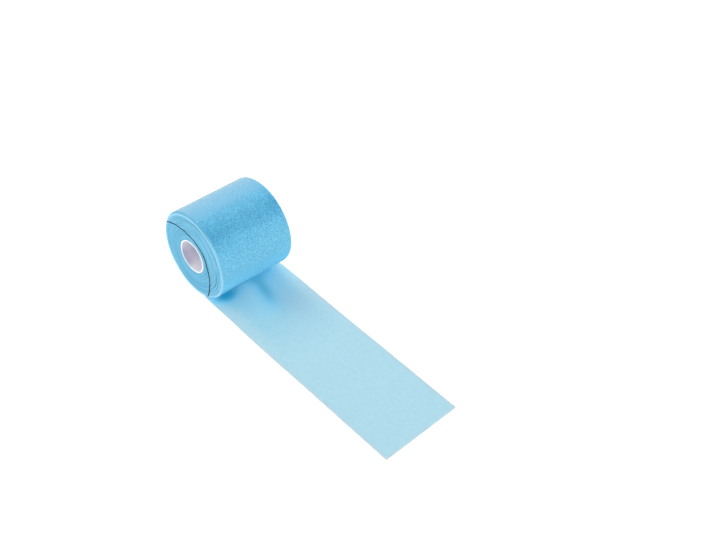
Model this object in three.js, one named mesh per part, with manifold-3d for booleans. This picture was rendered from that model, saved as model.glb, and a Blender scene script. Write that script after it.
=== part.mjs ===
import * as THREE from "three";
import { mergeVertices } from "three/addons/utils/BufferGeometryUtils.js";
import Module from "manifold-3d";

// A roll of thin foam pre-wrap on a stiff white tube, with its loose end laid out on the surface.
// Millimetres. The roll's axis runs along Y, the loose end runs out along +X, and the surface is z = 0.
// The origin is the middle of the flat spot that the roll rests on.

// Driving dimensions
const TAPE_WIDTH = 70;
const ROLL_DIAMETER = 72.66;
const LOOSE_LENGTH = 214.5; // from the line under the roll's axis to the cut end
const FOAM_THICKNESS = 1;
const TUBE_DIAMETER = 28;
const TUBE_WALL = 1.3;
const TUBE_ROUND = 0.3; // the outer edges of its rims
const GAP = 0.3; // between pieces that touch on the real roll

// The wound foam
const NECKING = 1.6; // the outer turns draw in by this much at each end of the tube
const CROWN = 1.3; // the turns next to the tube stand out past the outer ones by this much
const RIM_ROUND = 1.8; // the soft edge of the outer turns
const FLAT_SPOT_WIDTH = 8;
const TURNING_STEPS = 96;
const RIM_STEPS = 4;

// The slit in the near end, where the outer turns have slipped away from the inner ones. Each row is a place
// on the end face, across and up from the roll's axis. The slit bends round the tube and runs out at the rim.
const SLIT_WIDTH = 1;
const SLIT_DEPTH = 1.5; // at the rim; its floor is level, so it is deeper nearer the tube
const SLIT_STEPS = 44;
const SLIT_PATH = [
  { across: -40.1, up: 9.1 },
  { across: -30.2, up: 13.8 },
  { across: -20.3, up: 17.8 },
  { across: -9.8, up: 19.2 },
  { across: 0.6, up: 18.5 },
  { across: 9.4, up: 15 },
  { across: 15.6, up: 8.8 },
  { across: 18.3, up: 1.1 },
  { across: 19.9, up: -6.6 },
  { across: 20, up: -14.4 },
  { across: 17.9, up: -25.7 },
  { across: 13.2, up: -39.4 },
];

// The loose end, and the soft swells in it where it comes out from under the roll
const LOOSE_SHIFT = 1; // the loose end lies this far towards the roll's far end
const CUT_SKEW = 0.9; // how much shorter the far edge is than the near edge
const TUCK_START = 8;
const TUCK_STEPS = 3;
const SWELL_RISE = { from: 11, to: 23 };
const SWELL_FADE = { from: 27, to: 72 };
const SWELL_STEPS = 24;
const FLAT_STEPS = 10;
const ROWS_ACROSS = 20;
const SWELLS = [
  { crest: -5, slant: -0.22, height: 2.2, breadth: 9 },
  { crest: 29, slant: 0.05, height: 1.6, breadth: 8 },
];

// Sizes that follow from those
const rollRadius = ROLL_DIAMETER / 2;
const tubeRadius = TUBE_DIAMETER / 2;
const flatHalf = FLAT_SPOT_WIDTH / 2;
const axisHeight = Math.sqrt(rollRadius ** 2 - flatHalf ** 2);
const tubeEnd = TAPE_WIDTH / 2;
const foamEnd = tubeEnd - NECKING;

const wasm = await Module();
wasm.setup();

function finish(name, geometry, look) {
  const mesh = new THREE.Mesh(geometry, new THREE.MeshStandardMaterial(look));
  mesh.name = name;
  return mesh;
}

// A closed geometry as a solid that can be cut, and a cut solid as a geometry again.
function solidFrom(geometry) {
  const bare = geometry.clone();
  bare.deleteAttribute("normal");
  bare.deleteAttribute("uv");
  const merged = mergeVertices(bare, 1e-4);
  return new wasm.Manifold(
    new wasm.Mesh({
      numProp: 3,
      vertProperties: merged.attributes.position.array,
      triVerts: new Uint32Array(merged.index.array),
    }),
  );
}

function geometryFrom(solid) {
  const { vertProperties, triVerts } = solid.getMesh();
  const geometry = new THREE.BufferGeometry();
  geometry.setAttribute("position", new THREE.BufferAttribute(vertProperties, 3));
  geometry.setIndex(new THREE.BufferAttribute(triVerts, 1));
  geometry.computeVertexNormals();
  return geometry;
}

// A ring round the roll's axis, from its inner to its outer radius, with its outer edges rounded. Its ends
// stand out towards its inner edge, by the crown.
function ring(inner, outer, halfLength, crown, round, roundSteps) {
  const profile = [new THREE.Vector2(inner, -halfLength - crown)];
  for (const side of [-1, 1]) {
    for (let i = 0; i <= roundSteps; i++) {
      const part = side < 0 ? i : roundSteps - i;
      const turn = (part / roundSteps) * (Math.PI / 2);
      const radius = outer - round + round * Math.sin(turn);
      profile.push(new THREE.Vector2(radius, side * (halfLength - round + round * Math.cos(turn))));
    }
  }
  profile.push(new THREE.Vector2(inner, halfLength + crown));
  profile.push(profile[0].clone());
  return new THREE.LatheGeometry(profile, TURNING_STEPS);
}

// A band along the slit's path, as deep as the slit, standing out past the near end face.
function slitBand() {
  const places = SLIT_PATH.map(({ across, up }) => new THREE.Vector3(across, up, 0));
  const path = new THREE.CatmullRomCurve3(places);
  const sides = [[], []];
  for (let i = 0; i <= SLIT_STEPS; i++) {
    const place = path.getPointAt(i / SLIT_STEPS);
    const along = path.getTangentAt(i / SLIT_STEPS);
    const aside = new THREE.Vector2(-along.y, along.x).multiplyScalar(SLIT_WIDTH / 2);
    sides[0].push(new THREE.Vector2(place.x - aside.x, place.y - aside.y));
    sides[1].push(new THREE.Vector2(place.x + aside.x, place.y + aside.y));
  }
  const outline = new THREE.Shape([...sides[0], ...sides[1].reverse()]);
  const band = new THREE.ExtrudeGeometry(outline, { depth: 2 * SLIT_DEPTH, bevelEnabled: false });
  band.rotateX(Math.PI / 2);
  band.translate(0, SLIT_DEPTH - foamEnd, 0);
  return band;
}

// The foam round the tube: one solid, with the slit in its near end and the flat spot that it rests on.
function woundRoll() {
  const foam = solidFrom(ring(tubeRadius + GAP, rollRadius, foamEnd, CROWN, RIM_ROUND, RIM_STEPS));
  const below = new THREE.BoxGeometry(ROLL_DIAMETER, 2 * TAPE_WIDTH, ROLL_DIAMETER);
  below.translate(0, 0, -axisHeight - ROLL_DIAMETER / 2);
  const cut = foam.subtract(solidFrom(slitBand())).subtract(solidFrom(below));
  return geometryFrom(cut);
}

function smooth(from, to, value) {
  return THREE.MathUtils.smoothstep(value, from, to);
}

// How far the loose end is lifted off the surface at a place.
function liftAt(x, y) {
  const share = smooth(SWELL_RISE.from, SWELL_RISE.to, x) * (1 - smooth(SWELL_FADE.from, SWELL_FADE.to, x));
  let lift = 0;
  for (const { crest, slant, height, breadth } of SWELLS) {
    const off = (y - crest - slant * (x - SWELL_RISE.to)) / breadth;
    lift += height * Math.exp(-off * off);
  }
  return share * lift;
}

// The foam's thickness at a place: it wedges out under the roll, which leaves it less room there.
function thicknessAt(x) {
  const room = axisHeight - Math.sqrt(Math.max(rollRadius ** 2 - x ** 2, 0)) - GAP;
  return x < rollRadius ? Math.min(room, FOAM_THICKNESS) : FOAM_THICKNESS;
}

// Places along the loose end: close together where it is lifted, and far apart where it lies flat.
function stationsAlong() {
  const stations = [TUCK_START];
  const stretches = [
    { to: SWELL_RISE.from, steps: TUCK_STEPS },
    { to: SWELL_FADE.to, steps: SWELL_STEPS },
    { to: LOOSE_LENGTH, steps: FLAT_STEPS },
  ];
  for (const { to, steps } of stretches) {
    const from = stations.at(-1);
    for (let i = 1; i <= steps; i++) {
      stations.push(from + ((to - from) * i) / steps);
    }
  }
  return stations;
}

function looseEnd() {
  const stations = stationsAlong();
  const last = stations.length - 1;
  const sheet = new THREE.BoxGeometry(last, 1, 1, last, ROWS_ACROSS, 1);
  const places = sheet.attributes.position;
  for (let i = 0; i < places.count; i++) {
    const station = stations[Math.round(places.getX(i) + last / 2)];
    const y = LOOSE_SHIFT + places.getY(i) * TAPE_WIDTH;
    const out = (station - TUCK_START) / (LOOSE_LENGTH - TUCK_START);
    const x = station - CUT_SKEW * (places.getY(i) + 0.5) * out ** 2;
    const above = places.getZ(i) > 0 ? thicknessAt(station) : 0;
    places.setXYZ(i, x, y, liftAt(station, y) + above);
  }
  sheet.computeVertexNormals();
  return sheet;
}

const FOAM_LOOK = { color: 0x6fbce2, roughness: 0.9, metalness: 0 };
const TUBE_LOOK = { color: 0xf1eff2, roughness: 0.55, metalness: 0 };

// What is wound stands together at the height of the roll's axis.
const wound = new THREE.Group();
wound.position.z = axisHeight;
wound.add(finish("core_tube", ring(tubeRadius - TUBE_WALL, tubeRadius, tubeEnd, 0, TUBE_ROUND, 1), TUBE_LOOK));
wound.add(finish("wound_roll", woundRoll(), FOAM_LOOK));

const preWrapRoll = new THREE.Group();
preWrapRoll.add(wound);
preWrapRoll.add(finish("loose_end", looseEnd(), FOAM_LOOK));

export default preWrapRoll;
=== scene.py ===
"""The looks of a roll of foam pre-wrap: its white tube, the wound foam, and the loose end laid out flat.

All is in metres in the part's own frame. The roll's axis runs along Y, the loose end runs out along +X, and
the roll rests on z = 0. Places on the end faces are given across (X) and up (Z) from the roll's axis.
"""
import logging
import math
from collections.abc import Callable, Iterable
from dataclasses import dataclass, field
from enum import Enum

import bmesh
import bpy
import numpy as np
from mathutils import Matrix, Vector, noise


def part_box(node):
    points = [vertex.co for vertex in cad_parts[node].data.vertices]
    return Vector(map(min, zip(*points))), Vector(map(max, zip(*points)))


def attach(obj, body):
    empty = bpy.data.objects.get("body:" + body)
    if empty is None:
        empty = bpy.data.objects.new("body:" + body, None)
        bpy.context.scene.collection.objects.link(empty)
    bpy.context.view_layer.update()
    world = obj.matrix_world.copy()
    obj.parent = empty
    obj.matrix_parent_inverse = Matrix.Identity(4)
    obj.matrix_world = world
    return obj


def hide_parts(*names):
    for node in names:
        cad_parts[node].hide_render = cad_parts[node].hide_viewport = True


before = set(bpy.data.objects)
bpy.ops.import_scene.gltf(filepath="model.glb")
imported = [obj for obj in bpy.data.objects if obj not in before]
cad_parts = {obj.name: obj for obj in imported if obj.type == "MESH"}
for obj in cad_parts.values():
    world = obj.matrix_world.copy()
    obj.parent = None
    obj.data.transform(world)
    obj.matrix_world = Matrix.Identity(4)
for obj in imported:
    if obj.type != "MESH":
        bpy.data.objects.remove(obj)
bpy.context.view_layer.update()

log = logging.getLogger("pre_wrap_roll")

MM = 0.001
SAME = 1e-6  # metres: closer than this is the same place
MERGED = 1e-7  # metres: points closer than this are merged
CORNER = 1.0  # radians: a fold sharper than this is a corner
ROOT = "root"
WHITE = (1.0, 1.0, 1.0, 1.0)
BLACK = (0.0, 0.0, 0.0)
COLOUR_MIX = {"data_type": "RGBA", "clamp_factor": True}

Colour = tuple[float, float, float]
Point = tuple[float, float, float]
Span = tuple[float, float]
Array = np.ndarray
Piece = bpy.types.Object


class Slot(Enum):
    """The record's material slots."""

    TUBE = "tube"
    WOUND = "foam_wound"
    LOOSE = "foam_loose"


def smooth(low: float, high: float, value: Array) -> Array:
    """Ease from 0 at low to 1 at high, which may lie below low."""
    t = np.clip((value - low) / (high - low), 0.0, 1.0)
    return t * t * (3.0 - 2.0 * t)


def ripple(places: Array, seed: float) -> Array:
    """Smooth noise from about -1 to 1, at places in wavelengths; the seed moves its pattern."""
    shift = Vector((seed, 1.7 * seed, -0.6 * seed))
    return np.array([noise.noise(Vector(p) + shift) for p in places])


def turned_off(turn: Array, middle: float) -> Array:
    """How far angles lie from a middle one, from -180 to 180 degrees."""
    return (turn - middle + 180) % 360 - 180


@dataclass(frozen=True)
class Waves:
    """Soft unevenness: its height, its wavelengths along three coordinates, and its seed."""

    height: float
    lengths: Point
    seed: float

    def at(self, *places: Array | float) -> Array:
        """The height at many places.

        Args:
            *places: Their three coordinates, as arrays of one shape or single numbers.

        Returns:
            The height at each of them, in an array of that shape.
        """
        scaled = (p / length for p, length in zip(places, self.lengths))
        waves = np.stack(np.broadcast_arrays(*scaled), -1)
        return self.height * ripple(waves.reshape(-1, 3), self.seed).reshape(waves.shape[:-1])


class Wire:
    """An output of a shader node. Sums and products of wires and numbers add Math nodes."""

    def __init__(self, graph: "Graph", socket: bpy.types.NodeSocket) -> None:
        """Keep the graph that the output belongs to, and the output."""
        self.graph = graph
        self.socket = socket

    def math(self, operation: str, *values: "Wire | float") -> "Wire":
        """Add one Math node of Blender's name, with its operands in order."""
        return self.graph.node("ShaderNodeMath", {"operation": operation}, dict(enumerate(values)))

    def __add__(self, other: "Wire | float") -> "Wire":
        """This plus other."""
        return self.math("ADD", self, other)

    __radd__ = __add__

    def __sub__(self, other: "Wire | float") -> "Wire":
        """This minus other."""
        return self.math("SUBTRACT", self, other)

    def __rsub__(self, other: float) -> "Wire":
        """Other minus this."""
        return self.math("SUBTRACT", other, self)

    def __mul__(self, other: "Wire | float") -> "Wire":
        """This times other."""
        return self.math("MULTIPLY", self, other)

    __rmul__ = __mul__

    def __pow__(self, power: float) -> "Wire":
        """This to a power."""
        return self.math("POWER", self, power)

    def ease(self, low: float, high: float) -> "Wire":
        """Ease from 0 where this is low to 1 where it is high."""
        settings = {"interpolation_type": "SMOOTHSTEP", "clamp": True}
        return self.graph.node("ShaderNodeMapRange", settings, {"Value": self, 1: low, 2: high})


class Graph:
    """A material's nodes, made one at a time."""

    def __init__(self, name: str) -> None:
        """Make an empty material.

        Args:
            name: Its name.
        """
        self.material = bpy.data.materials.new(name)
        self.material.use_nodes = True
        self.tree = self.material.node_tree
        self.tree.nodes.clear()

    def node(
        self,
        kind: str,
        settings: dict[str, object] | None = None,
        inputs: dict[int | str, object] | None = None,
        output: int | str = 0,
    ) -> Wire:
        """Add one node.

        Args:
            kind: The node's type.
            settings: Its properties, set first.
            inputs: Values or wires for its sockets, by name or number.
            output: Which of its outputs to give back.

        Returns:
            That output.
        """
        made = self.tree.nodes.new(kind)
        for key, value in (settings or {}).items():
            setattr(made, key, value)
        for key, value in (inputs or {}).items():
            if isinstance(value, Wire):
                self.tree.links.new(value.socket, made.inputs[key])
            else:
                made.inputs[key].default_value = value
        return Wire(self, made.outputs[output])

    def blend(self, share: Wire | float, low: Wire | Colour, high: Wire | Colour) -> Wire:
        """Mix two colours: the first where share is 0, the second where it is 1."""
        ends = [v if isinstance(v, Wire) else (*v, 1.0) for v in (low, high)]
        return self.node("ShaderNodeMix", COLOUR_MIX, {0: share, 6: ends[0], 7: ends[1]}, 2)

    def layered(self, under: Wire, layers: Iterable[tuple[Wire, Wire | Colour]]) -> Wire:
        """Lay colours over a colour, one after another.

        Args:
            under: The lowest colour.
            layers: How much of each colour, and the colour, from the lowest to the highest.

        Returns:
            The mixed colour.
        """
        for share, colour in layers:
            under = self.blend(share, under, colour)
        return under

    def attribute(self, name: str) -> Wire:
        """A number that the mesh carries at each point."""
        return self.node("ShaderNodeAttribute", {"attribute_name": name}, {}, "Fac")

    def place(self) -> Wire:
        """The place on the object, in metres."""
        return self.node("ShaderNodeTexCoord", {}, {}, "Object")

    def split(self, at: Wire) -> tuple[Wire, Wire, Wire]:
        """The X, Y and Z of a place."""
        node = self.node("ShaderNodeSeparateXYZ", {}, {0: at}).socket.node
        return tuple(Wire(self, output) for output in node.outputs)

    def grain(self, at: Wire, size: float, detail: float = 2.0, rough: float = 0.5) -> Wire:
        """Noise about 0.5, of a given grain, with so many finer layers, and as strong ones."""
        sockets = {"Vector": at, "Scale": 1.0 / size, "Detail": detail, "Roughness": rough}
        return self.node("ShaderNodeTexNoise", {}, sockets, "Fac")

    def pores(self, at: Wire, size: float, softness: float = 0.35) -> Wire:
        """The cells of a foam, in pores: 0 in the middle of each one, rising to its softened walls."""
        sockets = {"Vector": at, "Scale": 1.0 / size, "Smoothness": softness}
        return self.node("ShaderNodeTexVoronoi", {"feature": "SMOOTH_F1"}, sockets, "Distance")

    def relief(self, height: Wire, distance: float, under: Wire | None = None) -> Wire:
        """A normal bumped by a height, in units of a distance in metres, on top of another one."""
        sockets = {"Height": height, "Distance": distance, "Strength": 1.0, "Normal": under}
        return self.node("ShaderNodeBump", {}, {k: v for k, v in sockets.items() if v is not None}, "Normal")

    def principled(self, inputs: dict[int | str, object]) -> Wire:
        """A Principled shader with these values and wires."""
        return self.node("ShaderNodeBsdfPrincipled", {}, inputs, "BSDF")

    def surface(self, shader: Wire) -> bpy.types.Material:
        """Send a shader to the material's surface.

        Args:
            shader: The shader.

        Returns:
            The finished material.
        """
        out = self.tree.nodes.new("ShaderNodeOutputMaterial")
        self.tree.links.new(shader.socket, out.inputs["Surface"])
        return self.material


@dataclass(frozen=True)
class Layer:
    """One layer of a finish's mottling: the part of a noise that it uses, and its share in the whole."""

    span: Span
    share: float

    def of(self, value: Wire) -> Wire:
        """This layer's part of the mottling, from a noise."""
        return value.ease(*self.span) * self.share


@dataclass(frozen=True)
class Band:
    """A stretch of angles round the roll's side, in radians, that fades in and out."""

    rise: Span
    fall: Span
    share: float = 1.0

    def across(self, turned: Wire) -> Wire:
        """How strongly the band shows at an angle."""
        return turned.ease(*self.rise) * (1.0 - turned.ease(*self.fall)) * self.share


@dataclass(frozen=True)
class FoamFinish:
    """Open-cell foam many turns thick: a deep matt blue with fine pores and a sheen at a slant, with painted
    light and shade on its side and ends.
    """

    deep: Colour = (0.085, 0.345, 0.53)
    pale: Colour = (0.175, 0.555, 0.79)
    # painted shade: a darker, mottled band along the upper front of the side, deeper towards the ends
    side_shade_deep: Colour = (0.035, 0.23, 0.41)
    side_shade_pale: Colour = (0.095, 0.43, 0.67)
    # painted light: a paler, brighter blue on the lower side, for the light that the floor throws up onto it
    low: Colour = (0.130, 0.57, 0.85)
    # painted highlight: a paler, greyer blue along the top of the side, where the light from above falls
    top_highlight: Colour = (0.24, 0.47, 0.68)
    # painted shade: a deeper blue dip in the middle of the side's shade band
    dip_shade: Colour = (0.020, 0.20, 0.38)
    # painted highlight: a pale line along the raised lip at the end's rim, where the thin outer turns catch
    # the light
    lip: Colour = (0.36, 0.72, 0.92)
    outer_deep: Colour = (0.145, 0.40, 0.58)
    outer_pale: Colour = (0.245, 0.56, 0.78)
    inner_deep: Colour = (0.095, 0.39, 0.60)
    inner_pale: Colour = (0.135, 0.47, 0.69)
    # painted shade: the dark contact shade low on the side where the tape leaves the roll
    nip: Colour = (0.001, 0.18, 0.39)
    # painted shade: near black, for the gaps between turns, beside the slit and in it
    shade: Colour = (0.010, 0.030, 0.048)
    pore: float = 1.0 * MM
    grain: float = 1.1 * MM
    grain_detail: float = 1.5
    cloud: float = 7.0 * MM
    turn: float = 1.3 * MM
    turn_length: float = 32 * MM
    turn_detail: float = 2.5
    turn_rough: float = 0.65
    pore_layer: Layer = Layer((0.2, 0.8), 0.3)
    grain_layer: Layer = Layer((0.36, 0.64), 0.6)
    cloud_layer: Layer = Layer((0.3, 0.7), 0.1)
    turn_layer: Layer = Layer((0.4, 0.6), 0.65)
    side_shade_band: Band = Band((0.30, 1.05), (1.0, 1.8))
    dip_shade_band: Band = Band((0.66, 1.0), (1.0, 1.3), 0.2)
    top_highlight_band: Band = Band((1.3, 1.7), (1.9, 2.2), 0.35)
    sheen_band: Band = Band((-0.45, 0.55), (3.6, 4.6))
    underlight_from: Span = (-0.4, 0.15)
    underlight_share: float = 0.5
    side_shade_ends: Span = (10 * MM, 32 * MM)
    side_shade_swing: float = 0.25
    outer_share: float = 0.35
    inner_share: float = 0.6
    lip_highlight_share: float = 0.8
    # how much painted shade the gaps and the slit's side take
    gap_shade: float = 0.6
    pore_relief: float = 0.6
    grain_relief: float = 0.8
    pore_depth: float = 0.22 * MM
    turn_depth: float = 0.16 * MM
    roughness: float = 0.9
    gloss: float = 0.2
    side_sheen: float = 0.8
    end_sheen: float = 0.1
    sheen_roughness: float = 0.45

    def make(self, axis_height: float) -> bpy.types.Material:
        """Build the material.

        Args:
            axis_height: How high the roll's axis lies, in metres.

        Returns:
            The material.
        """
        g = Graph("foam_wound")
        place = g.place()
        x, y, z = g.split(place)
        up = z - axis_height
        radius = (x * x + up * up) ** 0.5
        turned = math.pi / 2 - x.math("ARCTAN2", x, up)
        ends = g.attribute("end_face")
        sides = 1.0 - ends
        pores = g.pores(place, self.pore)
        grain = g.grain(place, self.grain, self.grain_detail)
        clouds = g.grain(place, self.cloud)
        slow = 1.0 / self.turn_length
        spiral = {0: radius * (1.0 / self.turn), 1: x * slow, 2: up * slow}
        around = g.node("ShaderNodeCombineXYZ", {}, spiral)
        turns = g.grain(around, 1.0, self.turn_detail, self.turn_rough)
        speckle = self.pore_layer.of(pores) + self.grain_layer.of(grain) + self.cloud_layer.of(clouds)
        tone = speckle * (1.0 - ends * self.turn_layer.share) + ends * self.turn_layer.of(turns)
        # painted shade band along the side, stronger towards the ends
        outward = y.math("ABSOLUTE", y).ease(*self.side_shade_ends) * self.side_shade_swing + (1.0 - self.side_shade_swing)
        facing = self.side_shade_band.across(turned) * sides * outward
        # painted light from below on the lower side
        underlight = (1.0 - turned.ease(*self.underlight_from)) * sides * self.underlight_share
        layers = (
            (underlight, self.low),
            (facing, g.blend(tone, self.side_shade_deep, self.side_shade_pale)),
            # painted shade dip in the side's band
            (self.dip_shade_band.across(turned) * sides, self.dip_shade),
            # painted highlight along the top of the side
            (self.top_highlight_band.across(turned) * sides, self.top_highlight),
            (ends * self.outer_share, g.blend(tone, self.outer_deep, self.outer_pale)),
            (g.attribute("inner_turns") * self.inner_share, g.blend(tone, self.inner_deep, self.inner_pale)),
            # painted contact shade at the nip
            (g.attribute("nip"), self.nip),
            # painted highlight on the lip
            (g.attribute("lip") * self.lip_highlight_share, self.lip),
            # painted shade in the gaps between turns and beside the slit
            (g.attribute("turn_gap_shade") * self.gap_shade, self.shade),
            # painted shade on the slit's walls and floor
            (g.attribute("slit"), self.shade),
        )
        bumped = g.relief(pores * self.pore_relief + grain * self.grain_relief, self.pore_depth)
        shared = {
            "Base Color": g.layered(g.blend(tone, self.deep, self.pale), layers),
            "Roughness": self.roughness,
            "Specular IOR Level": self.gloss,
            "Sheen Roughness": self.sheen_roughness,
            "Normal": g.relief(turns * ends, self.turn_depth, bumped),
        }
        side, end = (
            g.principled({**shared, "Sheen Weight": sheen})
            for sheen in (self.side_sheen, self.end_sheen)
        )
        lit = self.sheen_band.across(turned) * sides
        return g.surface(g.node("ShaderNodeMixShader", {}, {0: 1.0 - lit, 1: side, 2: end}))


@dataclass(frozen=True)
class SheetFinish:
    """One layer of the foam: tinted light from the surface below comes through it. Its colour carries painted
    shade in its folds and near the roll, a painted shadow on its far side and a painted glow near the roll.
    """

    deep: Colour = (0.065, 0.385, 0.505)
    pale: Colour = (0.135, 0.485, 0.585)
    edge: Colour = (0.420, 0.55, 0.60)
    # painted shade: the colours the tape deepens to, step by step, in its hollows and in the roll's shadow
    # near the nip
    light_shade: Colour = (0.055, 0.54, 0.77)
    middle_shade: Colour = (0.020, 0.42, 0.61)
    deepest_shade: Colour = (0.001, 0.29, 0.56)
    # painted shadow: a greyer blue where the roll's soft shadow falls on the tape's far side
    far_shadow_colour: Colour = (0.080, 0.27, 0.41)
    tint: Colour = (0.90, 0.93, 0.95)
    # painted light: a blue glow on the tape near the roll, standing in for light coming through it into the
    # roll's shade
    glow: Colour = (0.035, 0.42, 0.60)
    painted_glow_strength: float = 0.42
    cover: float = 0.30
    cover_swing: float = 0.06
    cover_dark: float = 0.99
    cover_edge: float = 0.14
    stages: tuple[Span, ...] = ((0.0, 0.25), (0.25, 0.5), (0.5, 1.0))
    pore: float = 0.9 * MM
    grain: float = 3.2 * MM
    grain_detail: float = 3.0
    grain_rough: float = 0.6
    pore_layer: Layer = Layer((0.1, 0.8), 0.5)
    grain_layer: Layer = Layer((0.25, 0.75), 0.5)
    pore_relief: float = 0.6
    grain_relief: float = 0.8
    pore_depth: float = 0.12 * MM
    roughness: float = 0.9
    sheen: float = 0.1
    sheen_roughness: float = 0.35
    gloss: float = 0.06

    def make(self) -> bpy.types.Material:
        """Build the material.

        Returns:
            The material.
        """
        g = Graph("foam_loose")
        place = g.place()
        pores = g.pores(place, self.pore)
        grain = g.grain(place, self.grain, self.grain_detail, self.grain_rough)
        speckle = self.pore_layer.of(pores) + self.grain_layer.of(grain)
        # how deep the painted shade goes at each place
        depth = g.attribute("depth")
        edge = g.attribute("edge")
        folds = zip(self.stages, (self.light_shade, self.middle_shade, self.deepest_shade))
        layers = (
            (edge, self.edge),
            *((depth.ease(*stage), colour) for stage, colour in folds),
            # painted shadow of the roll on the far side
            (g.attribute("far_shadow"), self.far_shadow_colour),
        )
        sockets = {
            "Base Color": g.layered(g.blend(speckle, self.deep, self.pale), layers),
            # painted light: the tape glows blue near the roll
            "Emission Color": g.blend(g.attribute("painted_glow"), BLACK, self.glow),
            "Emission Strength": self.painted_glow_strength,
            "Roughness": self.roughness,
            "Specular IOR Level": self.gloss,
            "Sheen Weight": self.sheen,
            "Sheen Roughness": self.sheen_roughness,
            "Normal": g.relief(pores * self.pore_relief + grain * self.grain_relief, self.pore_depth),
        }
        foam = g.principled(sockets)
        through = g.node("ShaderNodeBsdfTranslucent", {}, {"Color": (*self.tint, 1.0)})
        cover = (1.0 - speckle) * self.cover_swing + (self.cover - self.cover_swing / 2)
        share = cover + depth * (self.cover_dark - self.cover) + edge * self.cover_edge
        return g.surface(g.node("ShaderNodeMixShader", {}, {0: share, 1: through, 2: foam}))


@dataclass(frozen=True)
class TubeFinish:
    """White moulded plastic, painted lavender as shade, darker on one side wall near the mouths, with painted
    light on the bore's lower wall.
    """

    white: Colour = (0.95, 0.95, 0.96)
    # painted shade: the lavender of the tube's inside, mottled
    bore_shade: Colour = (0.82, 0.82, 0.91)
    bore_shade_mottled: Colour = (0.74, 0.72, 0.84)
    # painted shade on the bore's side wall near each mouth
    mouth_shade: Colour = (0.52, 0.50, 0.66)
    mouth_shade_share: float = 0.75
    mouth_shade_along: Span = (28 * MM, 33.5 * MM)
    mouth_shade_aside: Span = (1 * MM, 8 * MM)
    mouth_shade_below: Span = (-5 * MM, 6 * MM)
    # painted light: white on the bore's lower wall, where light falls in
    lit_from: Span = (8 * MM, 13 * MM)
    lit_share: float = 0.8
    cloud: float = 9 * MM
    cloud_span: Span = (0.3, 0.7)
    skin: float = 0.5 * MM
    skin_rough: float = 0.6
    skin_depth: float = 0.02 * MM
    roughness: float = 0.42
    roughness_swing: float = 0.16
    gloss: float = 0.4

    def make(self, axis_height: float) -> bpy.types.Material:
        """Build the material.

        Args:
            axis_height: How high the tube's axis lies, in metres.

        Returns:
            The material.
        """
        g = Graph("tube_white")
        place = g.place()
        cloud = g.grain(place, self.cloud).ease(*self.cloud_span)
        x, y, z = g.split(place)
        below = axis_height - z
        aside = (0.0 - x).ease(*self.mouth_shade_aside)
        mouth = y.math("ABSOLUTE", y).ease(*self.mouth_shade_along)
        layers = (
            # painted light on the bore's lower wall
            (below.ease(*self.lit_from) * (1.0 - aside) * self.lit_share, self.white),
            # painted shade near the mouths
            (aside * mouth * below.ease(*self.mouth_shade_below) * self.mouth_shade_share, self.mouth_shade),
            (g.attribute("rim"), self.white),
        )
        skin = g.grain(place, self.skin, 2.0, self.skin_rough)
        sockets = {
            "Base Color": g.layered(g.blend(cloud, self.bore_shade, self.bore_shade_mottled), layers),
            "Roughness": skin * self.roughness_swing + (self.roughness - self.roughness_swing / 2),
            "Specular IOR Level": self.gloss,
            "Normal": g.relief(skin, self.skin_depth),
        }
        return g.surface(g.principled(sockets))


@dataclass(frozen=True)
class FloorFinish:
    """A plain pale surface."""

    pale: Colour = (0.88, 0.88, 0.88)
    glow: float = 0.5
    roughness: float = 0.9
    gloss: float = 0.1

    def make(self) -> bpy.types.Material:
        """Build the material.

        Returns:
            The material.
        """
        g = Graph("floor_pale")
        sockets = {
            "Base Color": (*self.pale, 1.0),
            "Emission Color": WHITE,
            "Emission Strength": self.glow,
            "Roughness": self.roughness,
            "Specular IOR Level": self.gloss,
        }
        return g.surface(g.principled(sockets))


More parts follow.
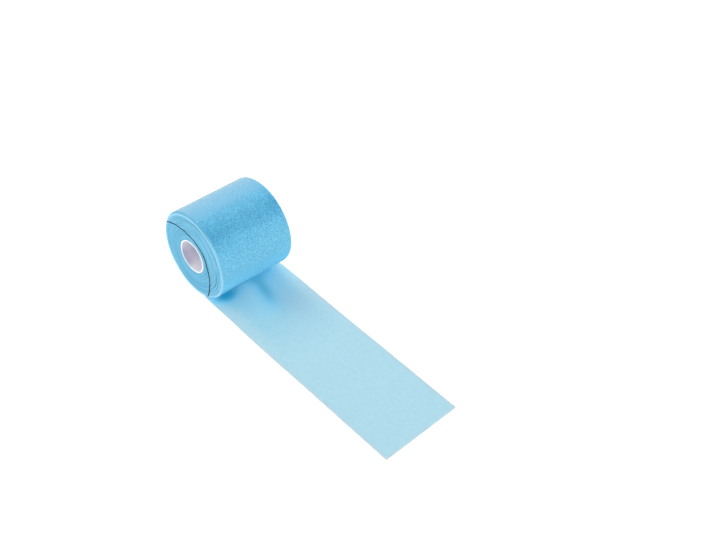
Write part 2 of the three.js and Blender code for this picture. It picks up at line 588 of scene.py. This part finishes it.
class Bench:
    """Modelling by hand: what the pieces have in common."""

    @staticmethod
    def clear_selection() -> None:
        """Leave edit mode and select nothing."""
        if bpy.context.object and bpy.context.object.mode != "OBJECT":
            bpy.ops.object.mode_set(mode="OBJECT")
        bpy.ops.object.select_all(action="DESELECT")

    @staticmethod
    def take(piece: Piece) -> None:
        """Select one object and make it the active one.

        Args:
            piece: The object.
        """
        Bench.clear_selection()
        bpy.context.view_layer.objects.active = piece
        piece.select_set(True)

    @staticmethod
    def lathe_blank(name: str, radius: float, length: float, height: float, steps: int) -> Piece:
        """Add a cylinder along Y with closed ends, its place in its mesh.

        Args:
            name: The piece's name.
            radius: Its radius.
            length: Its length.
            height: How high its axis lies.
            steps: How many sides it has.

        Returns:
            The cylinder, in object mode.
        """
        Bench.clear_selection()
        bpy.ops.mesh.primitive_cylinder_add(
            vertices=steps,
            radius=radius,
            depth=length,
            end_fill_type="NGON",
            location=(0.0, 0.0, height),
            rotation=(math.pi / 2, 0.0, 0.0),
        )
        piece = bpy.context.object
        piece.name = name
        piece.data.name = name
        bpy.ops.object.transform_apply(location=True, rotation=True, scale=True)
        return piece

    @staticmethod
    def pick(piece: Piece, mode: str, test: Callable[[object], bool]) -> None:
        """In edit mode, select the faces or edges that pass a test, and nothing else.

        Args:
            piece: The object in edit mode.
            mode: FACE or EDGE.
            test: Says whether a bmesh face or edge is wanted.
        """
        bpy.ops.mesh.select_mode(type=mode)
        bpy.ops.mesh.select_all(action="DESELECT")
        cage = bmesh.from_edit_mesh(piece.data)
        for item in cage.faces if mode == "FACE" else cage.edges:
            if test(item):
                item.select_set(True)
        bmesh.update_edit_mesh(piece.data)

    @staticmethod
    def is_cap(face: bmesh.types.BMFace) -> bool:
        """Whether a face closes an end: the others have four corners."""
        return len(face.verts) > 4

    @staticmethod
    def length_along(edge: bmesh.types.BMEdge) -> float:
        """How far an edge runs along Y."""
        return abs(edge.verts[0].co.y - edge.verts[1].co.y)

    @staticmethod
    def outwards() -> None:
        """In edit mode, merge doubles and turn every face outwards."""
        bpy.ops.mesh.select_all(action="SELECT")
        bpy.ops.mesh.remove_doubles(threshold=MERGED)
        bpy.ops.mesh.normals_make_consistent(inside=False)

    @staticmethod
    def points(piece: Piece) -> Array:
        """The piece's points.

        Args:
            piece: The piece.

        Returns:
            One row of three coordinates for each point.
        """
        flat = np.empty(len(piece.data.vertices) * 3)
        piece.data.vertices.foreach_get("co", flat)
        return flat.reshape(-1, 3)

    @staticmethod
    def move_points(piece: Piece, places: Array) -> None:
        """Put the piece's points at new places."""
        piece.data.vertices.foreach_set("co", places.ravel())
        piece.data.update()

    @staticmethod
    def carry(piece: Piece, name: str, values: Array, domain: str = "POINT") -> None:
        """Give the piece a number at each point, or at each FACE, for its finish to read."""
        made = piece.data.attributes.new(name, "FLOAT", domain)
        made.data.foreach_set("value", values.astype(np.float32))

    @staticmethod
    def dress(piece: Piece, material: bpy.types.Material, slot: Slot) -> None:
        """Give the piece its only material, and let it ride on the part.

        Args:
            piece: The piece.
            material: Its finish.
            slot: Not used.
        """
        piece.data.materials.clear()
        piece.data.materials.append(material)
        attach(piece, ROOT)

    @staticmethod
    def closed_sheet(name: str, low: Array, high: Array) -> Piece:
        """Make a closed sheet from a grid of places on its underside and one on its top.

        Args:
            name: The piece's name.
            low: The places on the underside, in rows.
            high: The places on the top, in the same rows.

        Returns:
            The sheet, in object mode.
        """
        n, m = low.shape[:2]
        number = np.arange(n * m).reshape(n, m)
        a, b, c, d = number[:-1, :-1], number[1:, :-1], number[1:, 1:], number[:-1, 1:]
        upper = n * m
        quads = (np.stack([a, b, c, d], -1) + upper).reshape(-1, 4).tolist()
        quads += np.stack([a, d, c, b], -1).reshape(-1, 4).tolist()
        border = [*number[:, 0], *number[-1, 1:], *number[-2::-1, -1], *number[0, -2:0:-1]]
        for p, q in zip(border, border[1:] + border[:1]):
            quads.append([int(p), int(q), int(q) + upper, int(p) + upper])
        mesh = bpy.data.meshes.new(name)
        mesh.from_pydata(np.concatenate([low.reshape(-1, 3), high.reshape(-1, 3)]).tolist(), [], quads)
        piece = bpy.data.objects.new(name, mesh)
        bpy.context.scene.collection.objects.link(piece)
        Bench.take(piece)
        bpy.ops.object.mode_set(mode="EDIT")
        Bench.outwards()
        bpy.ops.object.mode_set(mode="OBJECT")
        return piece


@dataclass
class Roll:
    """The sizes that the pieces of the roll share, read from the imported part."""

    crown: float = 1.3 * MM
    radius: float = field(init=False)
    axis_height: float = field(init=False)
    half_length: float = field(init=False)
    tube_radius: float = field(init=False)
    tube_half_length: float = field(init=False)

    def __post_init__(self) -> None:
        """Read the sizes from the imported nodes."""
        low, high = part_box("wound_roll")
        self.radius = (high.x - low.x) / 2
        self.axis_height = high.z - self.radius
        self.half_length = high.y - self.crown
        low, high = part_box("core_tube")
        self.tube_radius = (high.x - low.x) / 2
        self.tube_half_length = high.y


@dataclass
class Tube:
    """The stiff white tube inside the roll."""

    roll: Roll
    wall: float = 1.3 * MM
    rim_round: float = 0.35 * MM
    rim_segments: int = 4
    rim_mask: Span = (0.175 * MM, 0.035 * MM)
    steps: int = 160
    rings: int = 12
    smooth_under: float = math.radians(40)

    def build(self) -> Piece:
        """Model the tube from a cylinder: its ends inset, opened and bridged, and its rims rounded.

        Returns:
            The tube.
        """
        roll = self.roll
        piece = Bench.lathe_blank(
            "tube", roll.tube_radius, 2 * roll.tube_half_length, roll.axis_height, self.steps
        )
        bpy.ops.object.mode_set(mode="EDIT")
        Bench.pick(piece, "FACE", Bench.is_cap)
        bpy.ops.mesh.inset(thickness=self.wall, use_individual=True)
        bpy.ops.mesh.delete(type="FACE")
        Bench.pick(piece, "EDGE", lambda e: e.is_boundary)
        bpy.ops.mesh.bridge_edge_loops()
        Bench.pick(piece, "EDGE", self._is_rim)
        bpy.ops.mesh.bevel(offset=self.rim_round, segments=self.rim_segments, affect="EDGES")
        Bench.pick(piece, "EDGE", lambda e: Bench.length_along(e) > 2 * self.wall)
        bpy.ops.mesh.subdivide(number_cuts=self.rings)
        Bench.outwards()
        bpy.ops.object.mode_set(mode="OBJECT")
        bpy.ops.object.shade_smooth_by_angle(angle=self.smooth_under)
        inwards = roll.tube_half_length - np.abs(Bench.points(piece)[:, 1])
        Bench.carry(piece, "rim", smooth(*self.rim_mask, inwards))
        return piece

    def _is_rim(self, edge: bmesh.types.BMEdge) -> bool:
        """Whether an edge is a corner that runs round an end of the tube."""
        at_end = all(abs(abs(v.co.y) - self.roll.tube_half_length) < SAME for v in edge.verts)
        return at_end and edge.calc_face_angle(0) > CORNER

    def dress(self, piece: Piece) -> None:
        """Finish the tube in white plastic, in place of its plain solid."""
        Bench.dress(piece, TubeFinish().make(self.roll.axis_height), Slot.TUBE)
        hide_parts("core_tube")


@dataclass(frozen=True)
class TurnGap:
    """A place where two neighbouring turns stand a little apart in an end face, dented, with shade painted in
    it. Its angles are in degrees.
    """

    radius: float
    depth: float
    width: float
    middle: float
    spread: float

    def share_at(self, radius: Array, turn: Array) -> Array:
        """How far the gap reaches, from 0 to 1, at places on the face, by radius and turn."""
        off = turned_off(turn, self.middle) / self.spread
        return np.exp(-(off**2) - ((radius - self.radius) / self.width) ** 2)


@dataclass
class Winding:
    """The wound foam: hundreds of thin turns, with the slit where the outer ones have slipped.

    Angles round the roll are in degrees, and a span of depths is measured inwards from the surface.
    """

    roll: Roll
    steps: int = 256
    bore_gap: float = 0.12 * MM
    bore_skin: Span = (0.2 * MM, 0.1 * MM)
    rim_round: float = 1.8 * MM
    rim_segments: int = 8
    end_rings: int = 48
    side_rings: int = 44
    smooth_under: float = math.radians(50)
    ridges: Waves = Waves(0.13 * MM, (0.62 * MM, 60 * MM, 60 * MM), 4.1)
    slopes: Waves = Waves(0.16 * MM, (7 * MM, 25 * MM, 25 * MM), 8.3)
    swells: Waves = Waves(0.16 * MM, (22 * MM, 26 * MM, 22 * MM), 2.2)
    dents: Waves = Waves(0.05 * MM, (6 * MM, 9 * MM, 6 * MM), 6.6)
    ridge_shift: float = 540 * MM  # keeps the two ends' ridges unlike each other
    slope_shift: float = 125 * MM
    uneven_ends: Span = (1.6 * MM, 0.2 * MM)
    coloured_ends: Span = (1.6 * MM, 0.4 * MM)
    uneven_side: Span = (1.0 * MM, 0.2 * MM)
    calm_round_tube: float = 2 * MM
    lip_radius: float = 34.6 * MM
    lip_drift: float = 0.9 * MM
    lip_drift_middle: float = -20.0
    lip_drift_spread: float = 35.0
    lip_height: float = 0.5 * MM
    lip_width: float = 0.6 * MM
    # how far the lip's painted highlight reaches
    lip_highlight_span: Span = (1.25 * MM, 0.75 * MM)  # inside the lip and outside it
    far_gaps: float = 0.5  # how deep the turn gaps are in the far end
    # where the painted contact shade at the nip lies, in degrees round the roll and along it
    nip_above: Span = (-20.0, -37.0)
    nip_below: Span = (-70.0, -50.0)
    nip_thinning: float = 13.0
    nip_thinned: Span = (-30 * MM, 26 * MM)
    nip_along: Span = (30 * MM, 4 * MM)
    slit_width: float = 0.95 * MM
    slit_depth: float = 2.4 * MM
    slit_steps: int = 8
    slit_slack: float = 0.1 * MM
    floor_slack: float = 0.05 * MM
    slit_reach: float = 0.56  # of its width, from its line to its walls
    wall_facing: float = 0.3
    floor_facing: float = 0.9
    # a painted shade beside the slit, strongest where it passes the tube
    slit_shade: TurnGap = TurnGap(0.0, 0.9, 1.2 * MM, 15.0, 42.0)  # its radius is from the slit's line
    slit_path: tuple[Span, ...] = (  # in millimetres
        (-40.1, 9.1), (-30.2, 13.8), (-20.3, 17.8), (-9.8, 19.2), (0.6, 18.5), (9.4, 15.0),
        (15.6, 8.8), (18.3, 1.1), (19.9, -6.6), (20.0, -14.4), (17.9, -25.7), (13.2, -39.4),
    )
    gaps: tuple[TurnGap, ...] = (
        TurnGap(32.9 * MM, 0.34 * MM, 0.35 * MM, 80.0, 38.0),
        TurnGap(29.0 * MM, 0.55 * MM, 0.35 * MM, -14.0, 24.0),
        TurnGap(31.2 * MM, 0.30 * MM, 0.35 * MM, -22.0, 40.0),
        TurnGap(26.0 * MM, 0.18 * MM, 0.40 * MM, -110.0, 60.0),
        TurnGap(22.4 * MM, 0.16 * MM, 0.40 * MM, 175.0, 60.0),
    )

    def build(self) -> Piece:
        """Model the foam from a cylinder, uneven its turns and cut the slit.

        Returns:
            The wound foam.
        """
        piece = self._turned_blank()
        self._uneven(piece)
        self._cut_slit(piece)
        self._carry_masks(piece)
        self._mark_slit(piece)
        Bench.take(piece)
        bpy.ops.object.shade_smooth_by_angle(angle=self.smooth_under)
        return piece

    def _turned_blank(self) -> Piece:
        """Model a ring of foam with rounded rims, many rings in each end and along its side.

        Returns:
            The ring.
        """
        roll = self.roll
        length = 2 * roll.half_length
        piece = Bench.lathe_blank("wound_foam", roll.radius, length, roll.axis_height, self.steps)
        bpy.ops.object.mode_set(mode="EDIT")
        Bench.pick(piece, "EDGE", lambda e: Bench.length_along(e) < SAME)
        bpy.ops.mesh.bevel(offset=self.rim_round, segments=self.rim_segments, affect="EDGES")
        inner = roll.tube_radius + self.bore_gap
        ring = (roll.radius - self.rim_round - inner) / self.end_rings
        Bench.pick(piece, "FACE", Bench.is_cap)
        for _ in range(self.end_rings):
            bpy.ops.mesh.inset(thickness=ring, use_individual=True)
        bpy.ops.mesh.delete(type="FACE")
        Bench.pick(piece, "EDGE", lambda e: e.is_boundary)
        bpy.ops.mesh.bridge_edge_loops()
        Bench.pick(piece, "EDGE", lambda e: Bench.length_along(e) > roll.half_length)
        bpy.ops.mesh.subdivide(number_cuts=self.side_rings)
        Bench.outwards()
        bpy.ops.object.mode_set(mode="OBJECT")
        return piece

    def _polar(self, places: Array) -> tuple[Array, ...]:
        """Across, up, the radius and the turn in degrees, round the roll's axis, for all places."""
        across, up = places[:, 0], places[:, 2] - self.roll.axis_height
        return across, up, np.hypot(across, up), np.degrees(np.arctan2(up, across))

    def _lip_at(self, turn: Array) -> Array:
        """The lip's radius at each turn: it drifts out towards the lower right."""
        off = turned_off(turn, self.lip_drift_middle) / self.lip_drift_spread
        return self.lip_radius + self.lip_drift * np.exp(-(off**2))

    def _face_at(self, radius: Array) -> Array:
        """How far an end face stands out past its rim at each radius."""
        flat_radius = self.roll.radius - self.rim_round
        return self.roll.crown * (flat_radius - radius) / (flat_radius - self.roll.tube_radius)

    def slit_line(self) -> Array:
        """Draw the slit on the end face as a smooth curve through its places.

        Returns:
            Places along the curve, one row of across and up each.
        """
        knots = [Vector((a, u, 0.0)) * MM for a, u in self.slit_path]
        line = []
        for i in range(1, len(knots) - 2):
            before, start, end, after = knots[i - 1 : i + 3]
            for t in np.linspace(0.0, 1.0, self.slit_steps, endpoint=False):
                a = 2 * start
                b = end - before
                c = 2 * before - 5 * start + 4 * end - after
                d = 3 * start - before - 3 * end + after
                line.append((a + b * t + c * t * t + d * t ** 3) / 2)
        line = [knots[0], *line, knots[-2], knots[-1]]
        return np.array([(p.x, p.y) for p in line])

    def _off_slit(self, across: Array, up: Array) -> Array:
        """Measure how far places lie from the slit's line.

        Args:
            across: The places across the end face.
            up: The places up the end face.

        Returns:
            The distances, below 0 on the tube's side of the line.
        """
        line = self.slit_line()
        best = np.full(len(across), self.roll.radius)
        for start, step in zip(line[:-1], np.diff(line, axis=0)):
            dx, dy = across - start[0], up - start[1]
            t = np.clip((dx * step[0] + dy * step[1]) / (step @ step), 0.0, 1.0)
            off = np.hypot(dx - t * step[0], dy - t * step[1])
            side = np.sign(dy * step[0] - dx * step[1])
            best = np.where(off < np.abs(best), off * side, best)
        return best

    def _uneven(self, piece: Piece) -> None:
        """Give the turns their crown and ridges, the rim its lip, and the side its soft unevenness.

        Args:
            piece: The ring of foam.
        """
        roll = self.roll
        places = Bench.points(piece)
        across, up, radius, turn = self._polar(places)
        out_y = np.sign(places[:, 1])
        on_end = smooth(*self.uneven_ends, roll.half_length - np.abs(places[:, 1]))
        face = np.clip(self._face_at(radius), 0.0, None)
        rise = self.ridges.at(radius, across, up + self.ridge_shift * out_y)
        rise += self.slopes.at(radius, across, up + self.slope_shift * out_y)
        rise += self.lip_height * np.exp(-(((radius - self._lip_at(turn)) / self.lip_width) ** 2))
        for gap in self.gaps:
            rise -= gap.depth * gap.share_at(radius, turn) * np.where(out_y < 0, 1.0, self.far_gaps)
        rise *= smooth(0.0, self.calm_round_tube, radius - roll.tube_radius) * on_end
        inner = smooth(*self.bore_skin, radius - roll.tube_radius - self.bore_gap)
        along = np.abs(places[:, 1]) / roll.half_length
        places[:, 1] += out_y * (np.where(inner > 0, face * along, face * on_end) + rise)
        lift = self.swells.at(across, places[:, 1], up) + self.swells.height
        lift += self.dents.at(across, places[:, 1], up)
        lift *= smooth(*self.uneven_side, roll.radius - radius)
        places[:, 0] += across / radius * lift
        places[:, 2] += up / radius * lift
        places[:, 2] = np.maximum(places[:, 2], 0.0)
        Bench.move_points(piece, places)

    def _cut_slit(self, piece: Piece) -> None:
        """Cut the slit into the near end with a ribbon that follows its line.

        Args:
            piece: The foam.
        """
        roll = self.roll
        Bench.clear_selection()
        bpy.ops.curve.primitive_bezier_curve_add(enter_editmode=False)
        ribbon = bpy.context.object
        ribbon.name = "slit_cutter"
        ribbon.data.splines.clear()
        spline = ribbon.data.splines.new("POLY")
        line = self.slit_line()
        spline.points.add(len(line) - 1)
        for point, (across, up) in zip(spline.points, line):
            point.co = (across, up, 0.0, 1.0)
        ribbon.data.dimensions = "2D"
        ribbon.data.extrude = self.slit_depth
        ribbon.data.fill_mode = "NONE"
        ribbon.location = (0.0, -roll.half_length, roll.axis_height)
        ribbon.rotation_euler = (math.pi / 2, 0.0, 0.0)
        bpy.ops.object.convert(target="MESH")
        bpy.ops.object.transform_apply(location=True, rotation=True, scale=True)
        thicken = ribbon.modifiers.new("thicken", "SOLIDIFY")
        thicken.thickness = self.slit_width
        thicken.offset = 0.0
        thicken.use_even_offset = True
        bpy.ops.object.modifier_apply(modifier=thicken.name)
        Bench.take(piece)
        cut = piece.modifiers.new("slit", "BOOLEAN")
        cut.operation = "DIFFERENCE"
        cut.object = ribbon
        cut.solver = "EXACT"
        bpy.ops.object.modifier_apply(modifier=cut.name)
        bpy.data.objects.remove(ribbon)

    def _carry_masks(self, piece: Piece) -> None:
        """Carry where the ends are, and where the finish paints the lip's highlight, the shade in the gaps
        and beside the slit, and the contact shade at the nip.

        Args:
            piece: The foam.
        """
        places = Bench.points(piece)
        across, up, radius, turn = self._polar(places)
        y = places[:, 1]
        near = y < 0
        end = smooth(*self.coloured_ends, self.roll.half_length - np.abs(y))
        Bench.carry(piece, "end_face", end)
        # the lip's painted highlight, strongest on the lip itself
        off = radius - self._lip_at(turn)
        Bench.carry(piece, "lip", np.exp(-((off / np.where(off < 0, *self.lip_highlight_span)) ** 2)) * end)
        # painted shade in the gaps between turns, and then beside the slit
        gap = sum(g.share_at(radius, turn) * g.depth for g in self.gaps) / max(g.depth for g in self.gaps)
        off = self._off_slit(across, up)
        Bench.carry(piece, "inner_turns", end * near * (off < 0))
        # the painted contact shade at the nip, thinner towards the far end
        thinned = turn + self.nip_thinning * smooth(*self.nip_thinned, y)
        nip = smooth(*self.nip_above, thinned) * smooth(*self.nip_below, turn)
        Bench.carry(piece, "nip", nip * (1.0 - end) * smooth(*self.nip_along, y))
        gap += self.slit_shade.depth * self.slit_shade.share_at(off, turn) * near
        Bench.carry(piece, "turn_gap_shade", np.clip(gap, 0.0, 1.0) * end)

    def _mark_slit(self, piece: Piece) -> None:
        """Carry which faces are the slit's walls and floor, for the finish to paint them with shade.

        Args:
            piece: The foam.
        """
        roll = self.roll
        middles = np.array([f.center for f in piece.data.polygons])
        facing = np.array([abs(f.normal.y) for f in piece.data.polygons])
        off = self._off_slit(middles[:, 0], middles[:, 2] - roll.axis_height)
        below = middles[:, 1] + roll.half_length - self.slit_depth
        floor = (abs(below) < self.floor_slack) & (facing > self.floor_facing)
        slit = (facing < self.wall_facing) | floor
        slit &= (abs(off) < self.slit_reach * self.slit_width) & (below < self.slit_slack)
        Bench.carry(piece, "slit", slit, "FACE")

    def dress(self, piece: Piece) -> None:
        """Finish the foam, in place of its plain solid."""
        Bench.dress(piece, FoamFinish().make(self.roll.axis_height), Slot.WOUND)
        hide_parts("wound_roll")


@dataclass(frozen=True)
class Swell:
    """A soft ridge in the loose end where it comes out from under the roll."""

    crest: float
    slant: float
    height: float
    breadth: float


@dataclass(frozen=True)
class LightShadePatch:
    """A painted shade in a fold of the tape, or a painted light where its share is below 0, in millimetres
    and radians.
    """

    x: float
    y: float
    length: float
    breadth: float
    slant: float
    share: float

    def share_at(self, x: Array, y: Array) -> Array:
        """How strong the painted shade is at places on the tape: below 0 where it is painted lighter."""
        off = (x - self.x + 1j * (y - self.y)) * np.exp(-1j * self.slant)
        return self.share * np.exp(-((off.real / self.length) ** 2) - (off.imag / self.breadth) ** 2)


@dataclass
class LooseTape:
    """The loose end: one thin layer laid out on the surface, with its swells near the roll.

    The places of its painted light and shade, from the painted patches on, are in millimetres.
    """

    roll: Roll
    width: float = 70 * MM
    length: float = 215.0 * MM
    start: float = 5.2 * MM
    shift: float = 1 * MM
    skew: float = 0.9 * MM
    necking: float = 1.2 * MM
    necked_to: float = 95 * MM
    necked_side: Span = (-0.2, -0.5)
    tuck_to: float = 16 * MM
    thickness: float = 0.75 * MM
    thinnest: float = 0.03 * MM
    overlap: float = 0.02 * MM
    rest: float = 0.08 * MM
    rise: Span = (11 * MM, 23 * MM)
    fade: Span = (27 * MM, 72 * MM)
    rows: int = 56
    near_step: float = 1.1 * MM
    far_step: float = 1.9 * MM
    smooth_under: float = math.radians(50)
    slow: Waves = Waves(0.12 * MM, (34 * MM, 17 * MM, 1.0), 3.3)
    fine: Waves = Waves(0.04 * MM, (11 * MM, 8 * MM, 1.0), 5.5)
    fine_level: float = 3.0
    edges: Waves = Waves(0.5 * MM, (30 * MM, 0.25, 1.0), 7.7)
    edges_from: Span = (0.4, 0.5)
    cut: Waves = Waves(0.25 * MM, (1 / 9, 1.0, 1.0), 9.9)
    cut_from: Span = (0.97, 1.0)
    crease_at: float = 162 * MM
    crease_slant: float = 0.01
    crease_height: float = 0.3 * MM
    crease_width: float = 1.8 * MM
    swells: tuple[Swell, ...] = (
        Swell(-5 * MM, -0.22, 2.2 * MM, 9 * MM),
        Swell(29 * MM, 0.05, 1.6 * MM, 8 * MM),
    )
    # painted shade in the hollows and at the nip; a share below 0 paints light on a crest or the crease
    painted_patches: tuple[LightShadePatch, ...] = (
        LightShadePatch(19.5, -19.5, 6.5, 8.0, 0.0, 1.0),
        LightShadePatch(19.0, 9.0, 7.0, 7.0, 0.0, 0.2),
        LightShadePatch(35.0, 7.0, 16.0, 5.5, -0.25, 0.34),
        LightShadePatch(30.0, -7.0, 9.0, 9.0, -0.2, -0.06),
        LightShadePatch(54.0, 8.0, 13.0, 8.0, 0.0, 0.035),
        LightShadePatch(45.0, -23.0, 16.0, 11.0, 0.0, -0.06),
        LightShadePatch(161.0, 0.0, 1.5, 45.0, 0.0, -0.016),
    )
    # the painted soft shadow of the roll on the tape's far side
    far_shadow: LightShadePatch = LightShadePatch(57.0, 18.0, 24.0, 17.0, 0.0, 0.5)
    # painted shade of the roll's shadow on the tape near it, and at the nip
    shade_depth: float = 0.17
    shade_along: Span = (115.0, 25.0)
    shade_near: Span = (-32.0, -18.0)
    shade_far: Span = (33.5, 22.0)
    shade_least: float = 0.05
    nip_shade_depth: float = 0.28
    nip_at: float = 16.0
    nip_length: float = 8.0
    # where the painted glow lies, rising towards the roll
    painted_glow_along: Span = (70.0, 16.0)
    painted_glow_power: float = 1.6
    edge_within: Span = (0.6, 2.2)

    def _stations(self) -> Array:
        """Space places along the tape, close together near the roll.

        Returns:
            The places, from the roll to the cut end.
        """
        near_end = self.fade[1]
        near = np.arange(self.start, near_end, self.near_step)
        far = np.linspace(near_end, self.length, int((self.length - near_end) / self.far_step))
        return np.concatenate([near, far])

    def _under(self, x: Array, y: Array) -> Array:
        """Find how high the tape's underside lies above the surface.

        Args:
            x: Places along the tape.
            y: Places across it.

        Returns:
            The height at each place.
        """
        lift = np.zeros_like(x)
        for s in self.swells:
            lift += s.height * np.exp(-(((y - s.crest - s.slant * (x - self.rise[1])) / s.breadth) ** 2))
        lift *= smooth(*self.rise, x) * (1 - smooth(*self.fade, x))
        off = (x - self.crease_at - self.crease_slant * y) / self.crease_width
        uneven = self.crease_height * np.exp(-(off**2)) + self.slow.height + self.fine.height
        uneven += self.slow.at(x, y, 0.0) + self.fine.at(x, y, self.fine_level)
        return self.rest + lift + uneven * smooth(self.rise[0], self.fade[1], x)

    def _room(self, x: Array) -> Array:
        """Find how thick the tape can be: it wedges out under the roll.

        Args:
            x: Places along the tape.

        Returns:
            The thickness at each place.
        """
        radius = self.roll.radius
        under = self.roll.axis_height - np.sqrt(np.maximum(radius**2 - x**2, 0.0))
        room = np.where(x < radius, under - self.rest + self.overlap, self.thickness)
        return np.clip(room, self.thinnest, self.thickness)

    def build(self) -> Piece:
        """Lay out the tape as a thin closed sheet.

        Returns:
            The tape.
        """
        x, v = np.meshgrid(self._stations(), np.linspace(-0.5, 0.5, self.rows + 1), indexing="ij")
        out = (x - self.start) / (self.length - self.start)
        edge = self.edges.at(x, np.sign(v), 0.0) * smooth(*self.edges_from, np.abs(v))
        y = self.shift + v * (self.width + edge)
        drawn_in = smooth(self.necked_to, 0.0, x) + smooth(self.tuck_to, self.start, x)
        y += self.necking * drawn_in * smooth(*self.necked_side, v)
        trim = self.cut.at(v, 0.0, 0.0) * smooth(*self.cut_from, out)
        along = x - self.skew * (v + 0.5) * out**2 + trim
        under = self._under(x, y)
        low = np.stack([along, y, under], -1)
        high = np.stack([along, y, under + self._room(x)], -1)
        piece = Bench.closed_sheet("loose_tape", low, high)
        bpy.ops.object.shade_smooth_by_angle(angle=self.smooth_under)
        self._carry_masks(piece)
        return piece

    def _inside(self, x: Array, y: Array) -> Array:
        """How far places in millimetres lie inside the tape's long edges and its cut end."""
        long_edges = self.width / 2 / MM - np.abs(y - self.shift / MM)
        return np.minimum(long_edges, self.length / MM - x)

    def _carry_masks(self, piece: Piece) -> None:
        """Carry the painted shade in the tape's hollows and in the roll's shadow, the painted glow, the
        painted far shadow and the edge tone.

        Args:
            piece: The tape.
        """
        places = Bench.points(piece) / MM
        x, y = places[:, 0], places[:, 1]
        bare = np.ones(len(x))
        for patch in self.painted_patches:
            bare *= 1.0 - patch.share_at(x, y)
        shade = self.shade_depth * smooth(*self.shade_along, x)
        shade += self.nip_shade_depth * np.exp(-(((x - self.nip_at) / self.nip_length) ** 2))
        covered = smooth(*self.shade_near, y) * smooth(*self.shade_far, y)
        shade *= self.shade_least + (1.0 - self.shade_least) * covered
        # the painted shade, from the patches and the roll's shadow
        Bench.carry(piece, "depth", 1.0 - bare * (1.0 - shade))
        Bench.carry(piece, "painted_glow", smooth(*self.painted_glow_along, x) ** self.painted_glow_power)
        Bench.carry(piece, "far_shadow", self.far_shadow.share_at(x, y))
        Bench.carry(piece, "edge", 1.0 - smooth(*self.edge_within, self._inside(x, y)))

    def dress(self, piece: Piece) -> None:
        """Finish the tape, in place of its plain solid.

        Args:
            piece: The tape.
        """
        Bench.dress(piece, SheetFinish().make(), Slot.LOOSE)
        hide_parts("loose_end")


@dataclass(frozen=True)
class Lamp:
    """A square softbox."""

    name: str
    power: float
    size: float
    place: Point


@dataclass
class Studio:
    """A plain pale floor, plain soft light, and the camera where the photograph was taken from."""

    azimuth: float = 44.35
    elevation: float = 43.45
    tilt: float = 4.09
    eye: Point = (0.51768, -0.38438, 0.61407)
    lens: float = 56.02
    sees_from: float = 0.01
    floor_size: float = 40.0
    sky: float = 0.47
    lamps: tuple[Lamp, ...] = (
        Lamp("key", 11.0, 1.2, (-0.35, 0.45, 1.3)),
        Lamp("front", 8.0, 1.2, (-0.1, -1.0, 1.25)),
        Lamp("side", 8.5, 1.1, (1.25, 0.55, 0.55)),
    )
    lamp_target: Point = (0.03, 0.0, 0.02)

    def build(self) -> None:
        """Set up the floor, the light and the camera."""
        self._floor()
        self._light()
        self._camera()

    def _floor(self) -> None:
        """A wide pale floor, which isn't part of the object."""
        Bench.clear_selection()
        bpy.ops.mesh.primitive_plane_add(size=self.floor_size, location=(0.0, 0.0, 0.0))
        floor = bpy.context.object
        floor.name = "floor"
        floor.data.materials.append(FloorFinish().make())

    def _light(self) -> None:
        """An even sky, and wide soft lamps above and in front."""
        world = bpy.data.worlds.new("sky")
        world.use_nodes = True
        back = world.node_tree.nodes["Background"]
        back.inputs["Color"].default_value = WHITE
        back.inputs["Strength"].default_value = self.sky
        bpy.context.scene.world = world
        for lamp in self.lamps:
            data = bpy.data.lights.new(lamp.name, "AREA")
            data.shape = "SQUARE"
            data.size = lamp.size
            data.energy = lamp.power
            box = bpy.data.objects.new(lamp.name, data)
            box.location = lamp.place
            aim = Vector(self.lamp_target) - Vector(lamp.place)
            box.rotation_euler = aim.to_track_quat("-Z", "Y").to_euler()
            bpy.context.scene.collection.objects.link(box)

    def _camera(self) -> None:
        """The camera at the photograph's angle, with its slight tilt."""
        a, e, t = (math.radians(v) for v in (self.azimuth, self.elevation, self.tilt))
        back = Vector((math.sin(a) * math.cos(e), -math.cos(a) * math.cos(e), math.sin(e)))
        level = Vector((math.cos(a), math.sin(a), 0.0))
        upright = back.cross(level)
        right = math.cos(t) * level + math.sin(t) * upright
        up = -math.sin(t) * level + math.cos(t) * upright
        data = bpy.data.cameras.new("camera")
        data.lens = self.lens
        data.clip_start = self.sees_from
        camera = bpy.data.objects.new("camera", data)
        turn = Matrix((right, up, back)).transposed().to_4x4()
        camera.matrix_world = Matrix.Translation(self.eye) @ turn
        bpy.context.scene.collection.objects.link(camera)
        bpy.context.scene.camera = camera


def set_colours() -> None:
    """Show the light as it is, and clean the render's noise."""
    scene = bpy.context.scene
    scene.view_settings.view_transform = "Standard"
    scene.view_settings.look = "None"
    scene.cycles.use_denoising = True


def main() -> None:
    """Build the studio and every piece of the roll, in order."""
    logging.basicConfig(level=logging.INFO, format="%(name)s: %(message)s")
    set_colours()
    Studio().build()
    roll = Roll()
    for part in (Tube(roll), Winding(roll), LooseTape(roll)):
        piece = part.build()
        part.dress(piece)
        log.info("%s: %d faces", piece.name, len(piece.data.polygons))


if __name__ == "__main__":
    main()
